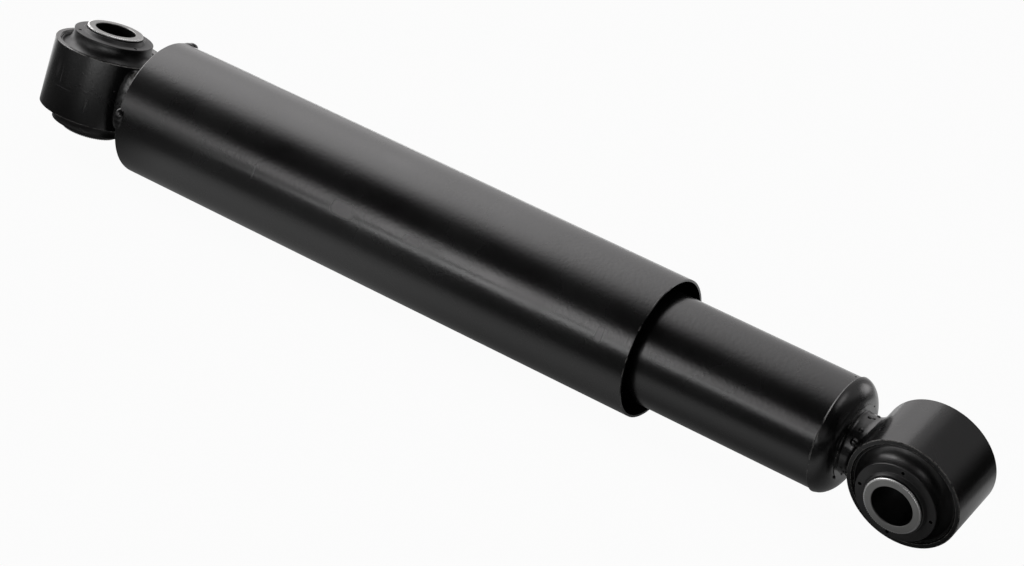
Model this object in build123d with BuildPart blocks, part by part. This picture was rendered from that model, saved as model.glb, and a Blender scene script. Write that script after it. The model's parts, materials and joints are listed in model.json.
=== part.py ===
"""Twin-tube hydraulic shock absorber for a heavy road vehicle, with an eye at each end.

Millimetres. The origin is the centre of the upper eye, on the rod side. +X runs along the damper to the
lower eye, and +Z along the upper eye's bore. The pose is the one in which the damper lies on a bench,
pushed almost shut, with the two eyes turned a little against each other.
"""

import os
from math import cos, radians, sin, sqrt

from build123d import *

# Travel of the damper, and the turn of the lower eye against the upper one's bore
stroke = 320.0
rest_extension = 14.0
closed_gap = 1.4
stop_gap = 0.5
bump_clearance = 13.3
eye_turn = 24.0

# Eye ring, the same at both ends
ring_outer_r = 33.3
ring_wall = 3.6
ring_width = 41.0
ring_edge = 0.3
ring_bore_edge = 1.0

# Steel inner sleeve of each bush
bolt_bore_r = 12.2
sleeve_r = 17.0
sleeve_length = 64.0
sleeve_chamfer = 0.25
bush_clearance = 0.05

# Moulded rubber of each bush
rim_width = 1.3
saucer_width = 4.5
lip_height = 28.3
root_recess = 2.5
saucer_depth = 1.8
rim_step = 1.2
lip_edge = 0.5
collar_height = 30.4
collar_wall = 1.1
collar_draft = 0.6
collar_edge = 0.3
pin_hole_r = 1.1
pin_hole_inset = 3.1
pin_hole_depth = 5.0
pin_hole_count = 4

# Dust tube and the end plate that carries it
dust_tube_r = 41.0
dust_tube_wall = 1.25
dust_tube_edge = 1.0
tube_cover = 24.7
ring_to_tube = 10.5
plate_recess = 0.9
plate_thickness = 5.0
plate_skirt = 9.0
plate_skirt_wall = 3.0
plate_edge = 1.6
tack_count = 3
tack_angle = 92.0
tack_length = 10.0
tack_height = 2.6
tack_reach = 3.0
tack_edge = 0.8

# Welds between the rings and the damper's two ends
upper_weld_width = 44.0
weld_inset = 0.5
lower_weld_root_r = 18.7
lower_weld_waist_r = 17.8
lower_weld_waist_share = 0.4
weld_corner = 11.0
weld_flare = 1.0

# Reservoir tube and end cap
reservoir_r = 32.5
reservoir_wall = 2.0
ring_to_cap = 6.7
cap_corner_r = 9.5
roll_bead = 0.9
roll_fall = 0.6
roll_pull = 5.0
roll_hole_r = 22.0
cap_thickness = 5.5
cap_skirt = 12.0
cap_skirt_wall = 3.2
cap_proud = 0.4
top_roll_r = 26.0
tube_clearance = 0.05

# Piston rod
rod_r = 10.0
rod_clearance = 0.04
rod_weld_spigot_r = 8.0
piston_spigot_r = 7.0
rod_tail = 2.0
rod_tail_chamfer = 1.0

# Rod guide, its bush, seal and rings
guide_head = 24.0
guide_spigot = 6.0
o_ring_place = 10.8
seal_pocket_depth = 10.0
seal_pocket_r = 18.0
seal_lip_r = 13.0
guide_bush_r = 12.0
oil_return_r = 1.2
oil_return_inlet_r = 13.8
oil_return_outlet_r = 26.6
oil_return_count = 4
o_ring_cord = 2.6
o_ring_play = 0.6
garter_cord_r = 0.8

# Oil seal: wiper lip outwards, main lip inwards
wiper_hollow = 1.5
wiper_tip = 0.8
wiper_land = 1.2
wiper_relief = 2.4
lip_relief = 3.0
lip_land = 1.8
lip_tip_gap = 1.2
lip_tip_rise = 0.6
lip_root_rise = 0.9
lip_mouth_rise = 2.2
garter_place = 0.8

# Pressure tube
pressure_bore_r = 22.5
pressure_wall = 1.6

# Rebound stop
stop_r = 20.0
stop_length = 10.0
stop_edge = 2.0
stop_to_shoulder = 3.5

# Piston valve, from the rod's shoulder to the nut
piston_r = 22.2
piston_length = 22.0
piston_edge = 1.0
intake_flange_r = 16.0
intake_flange = 2.0
intake_hub_r = 9.4
intake_disc_thickness = 1.0
intake_lift = 0.8
intake_spring_room = 1.0
intake_disc_r = 20.2
guide_rim_r = 13.4
guide_rim_wall = 0.9
guide_rim_height = 1.4
guide_rim_slots = 4
guide_rim_slot_width = 5.0
guide_rim_slot_depth = 3.6
disc_clearance = 0.15
outer_port_r = 1.5
outer_port_pitch_r = 17.2
outer_port_count = 8
inner_port_r = 1.2
inner_port_pitch_r = 11.0
inner_port_count = 6
ring_groove_depth = 2.4
ring_groove_width = 10.0
piston_ring_clearance = 0.05
shim_radii = (15.2, 14.0, 12.0, 9.8)
shim_thickness = 0.5
clamp_washer_r = 9.6
clamp_washer_thickness = 3.0
nut_across_flats = 22.0
nut_height = 11.0

# Star springs over the two check discs
star_inner_r = 9.6
star_thickness = 0.35
star_fingers = 6
star_slot = 2.4
star_slot_shift = 0.8
star_reach = 17.5

# Base valve in the end cap
base_foot = 8.0
base_foot_wall = 3.0
base_foot_slots = 6
base_foot_slot_width = 7.0
base_flange = 3.0
base_spigot = 7.0
base_disc_inner_r = 11.6
base_disc_r = 19.4
base_disc_thickness = 0.8
base_outer_port_r = 1.5
base_outer_port_pitch_r = 15.5
base_outer_port_count = 8
base_inner_port_r = 0.9
base_inner_port_pitch_r = 8.2
base_inner_port_count = 4
base_shim_radii = (10.4, 9.4, 8.0)
base_star_reach = 16.4
base_bolt_r = 4.0
base_boss_r = 6.0
base_bolt_head_r = 10.8
base_bolt_head = 2.2
base_nut_across_flats = 13.0
base_nut_height = 3.4

# Radii that fits share
ring_inner_r = ring_outer_r - ring_wall
root_r = ring_inner_r - rim_width
lip_r = root_r - saucer_width
collar_r = sleeve_r + bush_clearance + collar_wall
reservoir_bore_r = reservoir_r - reservoir_wall
pressure_r = pressure_bore_r + pressure_wall

# Places along X from the upper eye to the rod guide
dust_tube_start = ring_outer_r + ring_to_tube
plate_front_x = dust_tube_start + plate_recess
plate_back_x = plate_front_x + plate_thickness
mouth_x = plate_back_x + closed_gap + rest_extension
dust_tube_end = mouth_x - rest_extension + stroke + tube_cover
guide_x = mouth_x + reservoir_wall
guide_spigot_x = guide_x + guide_head
guide_end_x = guide_spigot_x + guide_spigot

# Places along X of the piston valve, set by the stroke that the rod guide stops
stop_x = guide_end_x + stroke - rest_extension + stop_gap
shoulder_x = stop_x + stop_length + stop_to_shoulder
intake_room = intake_spring_room + intake_lift
piston_x = shoulder_x + intake_flange + intake_room + intake_disc_thickness
piston_end_x = piston_x + piston_length
shim_end_x = piston_end_x + len(shim_radii) * shim_thickness
nut_x = shim_end_x + clamp_washer_thickness
rod_end_x = nut_x + nut_height + rod_tail

# Places along X from the base valve to the lower eye, clear of the rod's tail when the damper is shut
base_head_x = rod_end_x + rest_extension + bump_clearance
replenish_spring_x = base_head_x + base_bolt_head
base_top_x = replenish_spring_x + intake_room + base_disc_thickness
pressure_end_x = base_top_x + base_spigot
base_flange_end_x = pressure_end_x + base_flange
cap_inner_x = base_flange_end_x + base_foot
cap_face_x = cap_inner_x + cap_thickness
lower_eye_x = cap_face_x + ring_to_cap + ring_outer_r

# Frames of the two eyes, with their bores along local Y of these profile planes
upper_axis = Vector(0, 0, 1)
lower_axis = Vector(0, cos(radians(eye_turn)), sin(radians(eye_turn)))
upper_profile = Plane(origin=(0, 0, 0), x_dir=(1, 0, 0), z_dir=Vector(1, 0, 0).cross(upper_axis))
lower_profile = Plane(origin=(lower_eye_x, 0, 0), x_dir=(1, 0, 0), z_dir=Vector(1, 0, 0).cross(lower_axis))


def bore_axis(profile):
    """The axis of the eye whose profile plane this is."""
    return Axis(profile.origin, profile.y_dir)


def cross_plane(profile, height):
    """A plane square to the eye's bore, at a height along it from the eye's centre."""
    return Plane(origin=profile.origin + profile.y_dir * height, x_dir=(1, 0, 0), z_dir=profile.y_dir)


def eye_ring(profile):
    """Plain steel ring, cut from tube, with almost sharp outer edges and a chamfered bore."""
    half_width = ring_width / 2
    with BuildPart() as ring:
        with BuildSketch(profile):
            with BuildLine():
                Polyline(
                    (ring_inner_r, 0),
                    (ring_inner_r, half_width - ring_bore_edge),
                    (ring_inner_r + ring_bore_edge, half_width),
                    (ring_outer_r - ring_edge, half_width),
                    (ring_outer_r, half_width - ring_edge),
                    (ring_outer_r, 0),
                )
                mirror(about=Plane.XZ)
            make_face()
        revolve(axis=bore_axis(profile))
    return ring


def bush_rubber(profile):
    """Rubber body: bonded to the ring, with a hollow flank, a flat face and a collar at both ends."""
    inner_r = sleeve_r + bush_clearance
    rim_height = ring_width / 2 - rim_step
    root_height = ring_width / 2 - root_recess
    with BuildPart() as rubber:
        with BuildSketch(profile):
            with BuildLine():
                bond = Line((ring_inner_r, 0), (ring_inner_r, rim_height))
                rim = Line(bond @ 1, (root_r + rim_width / 2, rim_height))
                root = Line(rim @ 1, (root_r, root_height))
                saucer = SagittaArc(root @ 1, (lip_r, lip_height - lip_edge), saucer_depth)
                lip = Line(saucer @ 1, (lip_r - lip_edge / 2, lip_height))
                face = Line(lip @ 1, (collar_r + collar_draft, lip_height))
                collar = Polyline(
                    face @ 1,
                    (collar_r, collar_height - collar_edge),
                    (collar_r - collar_edge, collar_height),
                    (inner_r, collar_height),
                )
                Polyline(collar @ 1, (inner_r, 0), (ring_inner_r, 0))
            make_face()
        revolve(axis=bore_axis(profile))
        with BuildSketch(cross_plane(profile, lip_height - pin_hole_depth)):
            with PolarLocations(lip_r - pin_hole_inset, pin_hole_count):
                Circle(pin_hole_r)
        extrude(amount=2 * pin_hole_depth, mode=Mode.SUBTRACT)
        mirror(about=cross_plane(profile, 0))
    return rubber


def bush_sleeve(profile):
    """Thick steel inner sleeve that the mounting bolt passes through."""
    wall = sleeve_r - bolt_bore_r
    with BuildPart() as sleeve:
        with BuildSketch(profile):
            with Locations((bolt_bore_r + wall / 2, 0)):
                section = Rectangle(wall, sleeve_length)
            chamfer(section.vertices(), sleeve_chamfer)
        revolve(axis=bore_axis(profile))
    return sleeve


def washer(x, thickness, outer_r, inner_r):
    """A flat ring square to the damper's axis, whose near face is at x."""
    with BuildPart() as ring:
        with BuildSketch(Plane.YZ.offset(x)):
            Circle(outer_r)
            Circle(inner_r, mode=Mode.SUBTRACT)
        extrude(amount=thickness)
    return ring


def disc_stack(x, radii, inner_r):
    """Thin spring-steel discs lying on each other, each its own solid."""
    discs = [
        washer(x + index * shim_thickness, shim_thickness, radius, inner_r).part
        for index, radius in enumerate(radii)
    ]
    return Compound(children=discs)


def star_spring(x, room, inner_r, reach, hub_r):
    """Dished spring-steel star: a clamped hub with fingers that press on the check disc below it."""
    with BuildPart() as star:
        with BuildSketch(Plane.XY):
            with BuildLine():
                Polyline(
                    (x, inner_r),
                    (x, hub_r),
                    (x + room - star_thickness, reach),
                    (x + room, reach),
                    (x + star_thickness, hub_r),
                    (x + star_thickness, inner_r),
                    close=True,
                )
            make_face()
        revolve(axis=Axis.X)
        with BuildSketch(Plane.YZ.offset(x)):
            with PolarLocations((hub_r + reach) / 2 + star_slot_shift, star_fingers):
                Rectangle(reach - hub_r, star_slot)
        extrude(amount=room, mode=Mode.SUBTRACT)
    return star


def centring_rim(x, outer_r):
    """Outline of a castellated rim that centres a check disc, ending at the face at x."""
    with BuildSketch(Plane.YZ.offset(x - guide_rim_height)) as rim:
        Circle(outer_r)
        Circle(outer_r - guide_rim_wall, mode=Mode.SUBTRACT)
        with PolarLocations(outer_r, guide_rim_slots):
            Rectangle(guide_rim_slot_depth, guide_rim_slot_width, mode=Mode.SUBTRACT)
    return rim.sketch


# Upper eye
upper_eye_ring = eye_ring(upper_profile)
upper_bush = bush_rubber(upper_profile)
upper_sleeve = bush_sleeve(upper_profile)

# Lower eye
lower_eye_ring = eye_ring(lower_profile)
lower_bush = bush_rubber(lower_profile)
lower_sleeve = bush_sleeve(lower_profile)

# Saddle weld between the upper ring and the end plate
upper_weld_height = ring_width - 2 * weld_inset
with BuildPart() as upper_eye_weld:
    with BuildSketch(Plane.YZ.offset(plate_front_x)):
        RectangleRounded(upper_weld_width + 2 * weld_flare, upper_weld_height, weld_corner)
    with BuildSketch(Plane.YZ.offset(ring_outer_r)):
        RectangleRounded(upper_weld_width - 2 * weld_flare, upper_weld_height - 2 * weld_flare, weld_corner)
    with BuildSketch(Plane.YZ.offset(plate_front_x / 2)):
        RectangleRounded(upper_weld_width + 2 * weld_flare, upper_weld_height, weld_corner)
    loft()
    with BuildSketch(cross_plane(upper_profile, -ring_width)):
        Circle(ring_outer_r)
    extrude(amount=2 * ring_width, mode=Mode.SUBTRACT)

# Round weld neck between the end cap and the lower ring, saddled on the ring
lower_weld_start_x = cap_face_x + cap_proud
lower_weld_end_x = lower_eye_x - sqrt(ring_outer_r**2 - lower_weld_root_r**2)
lower_weld_waist_x = lower_weld_start_x + (lower_weld_end_x - lower_weld_start_x) * lower_weld_waist_share
with BuildPart() as lower_eye_weld:
    with BuildSketch(Plane.YZ.offset(lower_weld_start_x)):
        Circle(lower_weld_root_r)
    with BuildSketch(Plane.YZ.offset(lower_weld_waist_x)):
        Circle(lower_weld_waist_r)
    with BuildSketch(Plane.YZ.offset(lower_weld_end_x)):
        Circle(lower_weld_root_r)
    loft()
    with BuildSketch(cross_plane(lower_profile, -ring_width)):
        Circle(ring_outer_r)
    extrude(amount=2 * ring_width, mode=Mode.SUBTRACT)

# Pressed end plate: flat disc with a skirt inside the dust tube, bored for the rod's spigot
plate_r = dust_tube_r - dust_tube_wall
with BuildPart() as dust_end_plate:
    with BuildSketch(Plane.XY):
        with BuildLine():
            Polyline(
                (plate_front_x, rod_weld_spigot_r),
                (plate_front_x, plate_r),
                (plate_back_x + plate_skirt, plate_r),
                (plate_back_x + plate_skirt, plate_r - plate_skirt_wall),
                (plate_back_x, plate_r - plate_skirt_wall),
                (plate_back_x, rod_weld_spigot_r),
                close=True,
            )
        section = make_face()
        corner = section.vertices().sort_by(Axis.X).sort_by(Axis.Y)[-2:].sort_by(Axis.X)[0]
        chamfer(corner, plate_edge)
    revolve(axis=Axis.X)

# Dust tube
with BuildPart() as dust_tube:
    with BuildSketch(Plane.YZ.offset(dust_tube_start)):
        Circle(dust_tube_r)
        Circle(dust_tube_r - dust_tube_wall, mode=Mode.SUBTRACT)
    extrude(amount=dust_tube_end - dust_tube_start)
    first_rim = dust_tube.edges().filter_by(GeomType.CIRCLE).group_by(Axis.X)[0]
    fillet(first_rim.sort_by(SortBy.RADIUS)[-1], dust_tube_edge)

# Weld buttons over the dust tube's rim
with BuildPart() as dust_tube_tack_welds:
    for index in range(tack_count):
        angle = radians(tack_angle + index * 360 / tack_count)
        outward = Vector(0, -sin(angle), cos(angle))
        seat = Vector(dust_tube_start, 0, 0) + outward * dust_tube_r
        with BuildSketch(Plane(origin=seat, x_dir=(1, 0, 0), z_dir=Vector(1, 0, 0).cross(outward))):
            Ellipse(tack_reach, tack_height)
        extrude(amount=tack_length / 2, both=True)
    fillet(dust_tube_tack_welds.edges(), tack_edge)
    add(dust_tube.part, mode=Mode.SUBTRACT)
    add(dust_end_plate.part, mode=Mode.SUBTRACT)

# Piston rod with a welded spigot at the plate and a threaded spigot at the piston
with BuildPart() as piston_rod:
    with BuildSketch(Plane.XY):
        with BuildLine():
            Polyline(
                (plate_front_x, 0),
                (plate_front_x, rod_weld_spigot_r),
                (plate_back_x, rod_weld_spigot_r),
                (plate_back_x, rod_r),
                (shoulder_x, rod_r),
                (shoulder_x, piston_spigot_r),
                (rod_end_x - rod_tail_chamfer, piston_spigot_r),
                (rod_end_x, piston_spigot_r - rod_tail_chamfer),
                (rod_end_x, 0),
                close=True,
            )
        make_face()
    revolve(axis=Axis.X)

# Rebound stop on the rod
with BuildPart() as rebound_stop:
    with BuildSketch(Plane.XY):
        with Locations((stop_x + stop_length / 2, (stop_r + rod_r) / 2)):
            section = Rectangle(stop_length, stop_r - rod_r)
        fillet(section.vertices().group_by(Axis.Y)[-1], stop_edge)
    revolve(axis=Axis.X)

# Reservoir tube, rolled over the rod guide at its mouth and over the end cap at its foot
with BuildPart() as reservoir_tube:
    with BuildSketch(Plane.XY):
        with BuildLine():
            outside = Line((mouth_x, reservoir_r - reservoir_wall), (mouth_x, top_roll_r))
            mouth = Polyline(outside @ 1, (guide_x, top_roll_r), (guide_x, reservoir_bore_r))
            bore = Line(mouth @ 1, (cap_face_x - cap_corner_r, reservoir_bore_r))
            inner_roll = RadiusArc(
                bore @ 1, (cap_face_x - reservoir_wall, reservoir_r - cap_corner_r), cap_corner_r - reservoir_wall
            )
            lip = Polyline(
                inner_roll @ 1,
                (cap_face_x - reservoir_wall, roll_hole_r),
                (cap_face_x, roll_hole_r),
            )
            crest = Vector(cap_face_x - cap_corner_r, reservoir_r + roll_bead)
            outer_roll = Bezier(
                lip @ 1,
                (cap_face_x, roll_hole_r + roll_pull),
                (crest.X + roll_pull, crest.Y - roll_fall),
                crest,
            )
            wall = Polyline(
                outer_roll @ 1,
                (crest.X - roll_bead, reservoir_r),
                (mouth_x + reservoir_wall, reservoir_r),
            )
            RadiusArc(wall @ 1, outside @ 0, -reservoir_wall)
        make_face()
    revolve(axis=Axis.X)

# End cap, pressed steel, whose boss fills the rolled hole
cap_r = reservoir_bore_r - tube_clearance
with BuildPart() as lower_end_cap:
    with BuildSketch(Plane.XY):
        with BuildLine():
            front = Polyline(
                (cap_inner_x, 0),
                (cap_inner_x, cap_r - cap_skirt_wall),
                (cap_inner_x - cap_skirt, cap_r - cap_skirt_wall),
                (cap_inner_x - cap_skirt, cap_r),
                (cap_face_x - cap_corner_r, cap_r),
            )
            roll = RadiusArc(
                front @ 1,
                (cap_face_x - reservoir_wall - tube_clearance, reservoir_r - cap_corner_r),
                cap_corner_r - reservoir_wall - tube_clearance,
            )
            Polyline(
                roll @ 1,
                (cap_face_x - reservoir_wall - tube_clearance, roll_hole_r - tube_clearance),
                (cap_face_x + cap_proud, roll_hole_r - tube_clearance),
                (cap_face_x + cap_proud, 0),
                (cap_inner_x, 0),
            )
        make_face()
    revolve(axis=Axis.X)

# Pressure tube
pressure_tube = washer(guide_spigot_x, pressure_end_x - guide_spigot_x, pressure_r, pressure_bore_r)

# Rod guide with its seal pocket, bush seat, ring groove and oil return holes
o_ring_groove_x = guide_x + o_ring_place
guide_r = reservoir_bore_r - tube_clearance
with BuildPart() as rod_guide:
    with BuildSketch(Plane.XY):
        with BuildLine():
            Polyline(
                (guide_x, seal_pocket_r),
                (guide_x, guide_r),
                (o_ring_groove_x, guide_r),
                (o_ring_groove_x, guide_r - o_ring_cord),
                (o_ring_groove_x + o_ring_cord + o_ring_play, guide_r - o_ring_cord),
                (o_ring_groove_x + o_ring_cord + o_ring_play, guide_r),
                (guide_spigot_x, guide_r),
                (guide_spigot_x, pressure_bore_r - tube_clearance),
                (guide_end_x, pressure_bore_r - tube_clearance),
                (guide_end_x, guide_bush_r),
                (guide_x + seal_pocket_depth, guide_bush_r),
                (guide_x + seal_pocket_depth, seal_pocket_r),
                close=True,
            )
        make_face()
    revolve(axis=Axis.X)
    for index in range(oil_return_count):
        around = radians(index * 360 / oil_return_count)
        outward = Vector(0, cos(around), sin(around))
        inlet = Vector(guide_x + seal_pocket_depth, 0, 0) + outward * oil_return_inlet_r
        outlet = Vector(guide_spigot_x, 0, 0) + outward * oil_return_outlet_r
        with BuildSketch(Plane(origin=inlet, z_dir=outlet - inlet)):
            Circle(oil_return_r)
        extrude(amount=(outlet - inlet).length + 2 * oil_return_r, mode=Mode.SUBTRACT)

# Bronze bush in the rod guide
guide_bush_x = guide_x + seal_pocket_depth
guide_bush = washer(guide_bush_x, guide_end_x - guide_bush_x, guide_bush_r, rod_r + rod_clearance)

# Oil seal with a main lip inwards, backed by the garter spring, and a wiper lip outwards
seal_bore_r = rod_r + rod_clearance
seal_end_x = guide_x + seal_pocket_depth
lip_tip = Vector(seal_end_x - lip_tip_gap, seal_lip_r - lip_tip_rise)
lip_root = Vector(seal_end_x - seal_pocket_depth / 2, seal_lip_r + lip_root_rise)
with BuildPart() as rod_seal:
    with BuildSketch(Plane.XY):
        with BuildLine():
            Polyline(
                (guide_x, seal_pocket_r),
                (guide_x, seal_lip_r + wiper_hollow),
                (guide_x + wiper_hollow, seal_lip_r),
                (guide_x, seal_bore_r + wiper_tip),
                (guide_x, seal_bore_r),
                (guide_x + wiper_land, seal_bore_r),
                (guide_x + wiper_relief, seal_bore_r + wiper_land),
                (seal_end_x - lip_relief, seal_bore_r),
                (seal_end_x - lip_land, seal_bore_r),
                lip_tip,
                lip_root,
                (seal_end_x, seal_lip_r + lip_mouth_rise),
                (seal_end_x, seal_pocket_r),
                close=True,
            )
        make_face()
    revolve(axis=Axis.X)

# Garter spring round the seal's main lip, as one closed ring
lip_back = (lip_tip - lip_root).normalized()
garter_seat = lip_root + lip_back * (lip_tip - lip_root).length * garter_place
garter_centre = garter_seat + Vector(-lip_back.Y, lip_back.X) * garter_cord_r
with BuildPart() as seal_spring:
    with BuildSketch(Plane.XY):
        with Locations(garter_centre):
            Circle(garter_cord_r)
    revolve(axis=Axis.X)

# Ring between the rod guide and the reservoir tube
with BuildPart() as guide_o_ring:
    with BuildSketch(Plane.XY):
        with Locations((o_ring_groove_x + (o_ring_cord + o_ring_play) / 2, guide_r - o_ring_cord / 2)):
            Circle(o_ring_cord / 2)
    revolve(axis=Axis.X)

# Hub that clamps the intake spring and stops the check disc
with BuildPart() as intake_stop:
    with BuildSketch(Plane.XY):
        with BuildLine():
            Polyline(
                (shoulder_x, piston_spigot_r),
                (shoulder_x, intake_flange_r),
                (shoulder_x + intake_flange, intake_flange_r),
                (shoulder_x + intake_flange, intake_hub_r),
                (piston_x, intake_hub_r),
                (piston_x, piston_spigot_r),
                close=True,
            )
        make_face()
    revolve(axis=Axis.X)

star_x = shoulder_x + intake_flange
intake_spring = star_spring(star_x, intake_room, star_inner_r, star_reach, guide_rim_r)
intake_disc = washer(
    piston_x - intake_disc_thickness, intake_disc_thickness, intake_disc_r, guide_rim_r + disc_clearance
)

# Piston: two rings of ports, a groove for its ring and a castellated rim that centres the check disc
groove_start_x = piston_x + (piston_length - ring_groove_width) / 2
with BuildPart() as piston:
    with BuildSketch(Plane.XY):
        with BuildLine():
            Polyline(
                (piston_x, piston_spigot_r),
                (piston_x, piston_r - piston_edge),
                (piston_x + piston_edge, piston_r),
                (groove_start_x, piston_r),
                (groove_start_x, piston_r - ring_groove_depth),
                (groove_start_x + ring_groove_width, piston_r - ring_groove_depth),
                (groove_start_x + ring_groove_width, piston_r),
                (piston_end_x - piston_edge, piston_r),
                (piston_end_x, piston_r - piston_edge),
                (piston_end_x, piston_spigot_r),
                close=True,
            )
        make_face()
    revolve(axis=Axis.X)
    with BuildSketch(Plane.YZ.offset(piston_x)):
        with PolarLocations(outer_port_pitch_r, outer_port_count):
            Circle(outer_port_r)
        with PolarLocations(inner_port_pitch_r, inner_port_count):
            Circle(inner_port_r)
    extrude(amount=piston_length, mode=Mode.SUBTRACT)
    extrude(centring_rim(piston_x, guide_rim_r), amount=guide_rim_height)

# Sliding ring in the piston's groove
piston_ring = washer(
    groove_start_x + piston_ring_clearance,
    ring_groove_width - 2 * piston_ring_clearance,
    pressure_bore_r - piston_ring_clearance,
    piston_r - ring_groove_depth + piston_ring_clearance,
)

rebound_discs = disc_stack(piston_end_x, shim_radii, piston_spigot_r)
rebound_washer = washer(shim_end_x, clamp_washer_thickness, clamp_washer_r, piston_spigot_r)

# Piston nut
with BuildPart() as piston_nut:
    with BuildSketch(Plane.YZ.offset(nut_x)):
        RegularPolygon(nut_across_flats / 2, 6, major_radius=False)
        Circle(piston_spigot_r, mode=Mode.SUBTRACT)
    extrude(amount=nut_height)

# Base valve body: spigot in the pressure tube, flange under it and a slotted foot on the end cap
base_foot_r = cap_r - cap_skirt_wall - tube_clearance
with BuildPart() as base_valve_body:
    with BuildSketch(Plane.XY):
        with BuildLine():
            Polyline(
                (replenish_spring_x + star_thickness, base_bolt_r),
                (replenish_spring_x + star_thickness, base_boss_r),
                (base_top_x, base_boss_r),
                (base_top_x, pressure_bore_r - tube_clearance),
                (pressure_end_x, pressure_bore_r - tube_clearance),
                (pressure_end_x, base_foot_r),
                (cap_inner_x, base_foot_r),
                (cap_inner_x, base_foot_r - base_foot_wall),
                (base_flange_end_x, base_foot_r - base_foot_wall),
                (base_flange_end_x, base_bolt_r),
                close=True,
            )
        make_face()
    revolve(axis=Axis.X)
    with BuildSketch(Plane.YZ.offset(base_top_x)):
        with PolarLocations(base_outer_port_pitch_r, base_outer_port_count):
            Circle(base_outer_port_r)
        with PolarLocations(base_inner_port_pitch_r, base_inner_port_count):
            Circle(base_inner_port_r)
    extrude(amount=base_spigot + base_flange, mode=Mode.SUBTRACT)
    with BuildSketch(Plane.YZ.offset(pressure_end_x)):
        with PolarLocations((pressure_r + base_foot_r) / 2 + base_foot_wall, base_foot_slots):
            Rectangle(base_foot_r - pressure_r + 2 * base_foot_wall, base_foot_slot_width)
    extrude(amount=base_flange + base_foot, mode=Mode.SUBTRACT)
    extrude(centring_rim(base_top_x, base_disc_inner_r - disc_clearance), amount=guide_rim_height)

replenish_disc = washer(
    base_top_x - base_disc_thickness, base_disc_thickness, base_disc_r, base_disc_inner_r
)
replenish_spring = star_spring(
    replenish_spring_x, intake_room, base_bolt_r, base_star_reach, base_disc_inner_r
)
base_valve_discs = disc_stack(base_flange_end_x, base_shim_radii, base_bolt_r)

# Bolt that holds the base valve's discs together
base_shim_end_x = base_flange_end_x + len(base_shim_radii) * shim_thickness
with BuildPart() as base_valve_bolt:
    with BuildSketch(Plane.XY):
        with BuildLine():
            Polyline(
                (base_head_x, 0),
                (base_head_x, base_bolt_head_r),
                (replenish_spring_x, base_bolt_head_r),
                (replenish_spring_x, base_bolt_r),
                (base_shim_end_x + base_nut_height, base_bolt_r),
                (base_shim_end_x + base_nut_height, 0),
                close=True,
            )
        make_face()
    revolve(axis=Axis.X)

# Nut on the base valve's bolt
with BuildPart() as base_valve_nut:
    with BuildSketch(Plane.YZ.offset(base_shim_end_x)):
        RegularPolygon(base_nut_across_flats / 2, 6, major_radius=False)
        Circle(base_bolt_r, mode=Mode.SUBTRACT)
    extrude(amount=base_nut_height)

pieces = {
    "upper_eye_ring": upper_eye_ring.part,
    "upper_bush": upper_bush.part,
    "upper_sleeve": upper_sleeve.part,
    "upper_eye_weld": upper_eye_weld.part,
    "dust_end_plate": dust_end_plate.part,
    "dust_tube": dust_tube.part,
    "dust_tube_tack_welds": dust_tube_tack_welds.part,
    "piston_rod": piston_rod.part,
    "rebound_stop": rebound_stop.part,
    "intake_stop": intake_stop.part,
    "intake_spring": intake_spring.part,
    "intake_disc": intake_disc.part,
    "piston": piston.part,
    "piston_ring": piston_ring.part,
    "rebound_discs": rebound_discs,
    "rebound_washer": rebound_washer.part,
    "piston_nut": piston_nut.part,
    "reservoir_tube": reservoir_tube.part,
    "lower_end_cap": lower_end_cap.part,
    "pressure_tube": pressure_tube.part,
    "rod_guide": rod_guide.part,
    "guide_bush": guide_bush.part,
    "rod_seal": rod_seal.part,
    "seal_spring": seal_spring.part,
    "guide_o_ring": guide_o_ring.part,
    "base_valve_body": base_valve_body.part,
    "replenish_disc": replenish_disc.part,
    "replenish_spring": replenish_spring.part,
    "base_valve_discs": base_valve_discs,
    "base_valve_bolt": base_valve_bolt.part,
    "base_valve_nut": base_valve_nut.part,
    "lower_eye_weld": lower_eye_weld.part,
    "lower_eye_ring": lower_eye_ring.part,
    "lower_bush": lower_bush.part,
    "lower_sleeve": lower_sleeve.part,
}

os.makedirs("parts", exist_ok=True)
for name, piece in pieces.items():
    piece.label = name
    export_step(piece, f"parts/{name}.step")
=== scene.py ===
"""Looks of a heavy vehicle's shock absorber, laid out as an add-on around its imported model.

Metres, in the model's own frame: the origin is the centre of the upper eye, +X runs to the lower eye and
+Z along the upper eye's bore. Each operator makes one kind of piece or finish, and main() calls them in
order.
"""

import json
import random
from math import atan2, cos, hypot, pi, radians, sin, sqrt

import bmesh
import bpy
from bpy.props import FloatProperty, FloatVectorProperty, IntProperty, PointerProperty
from mathutils import Matrix, Vector, noise

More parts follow.
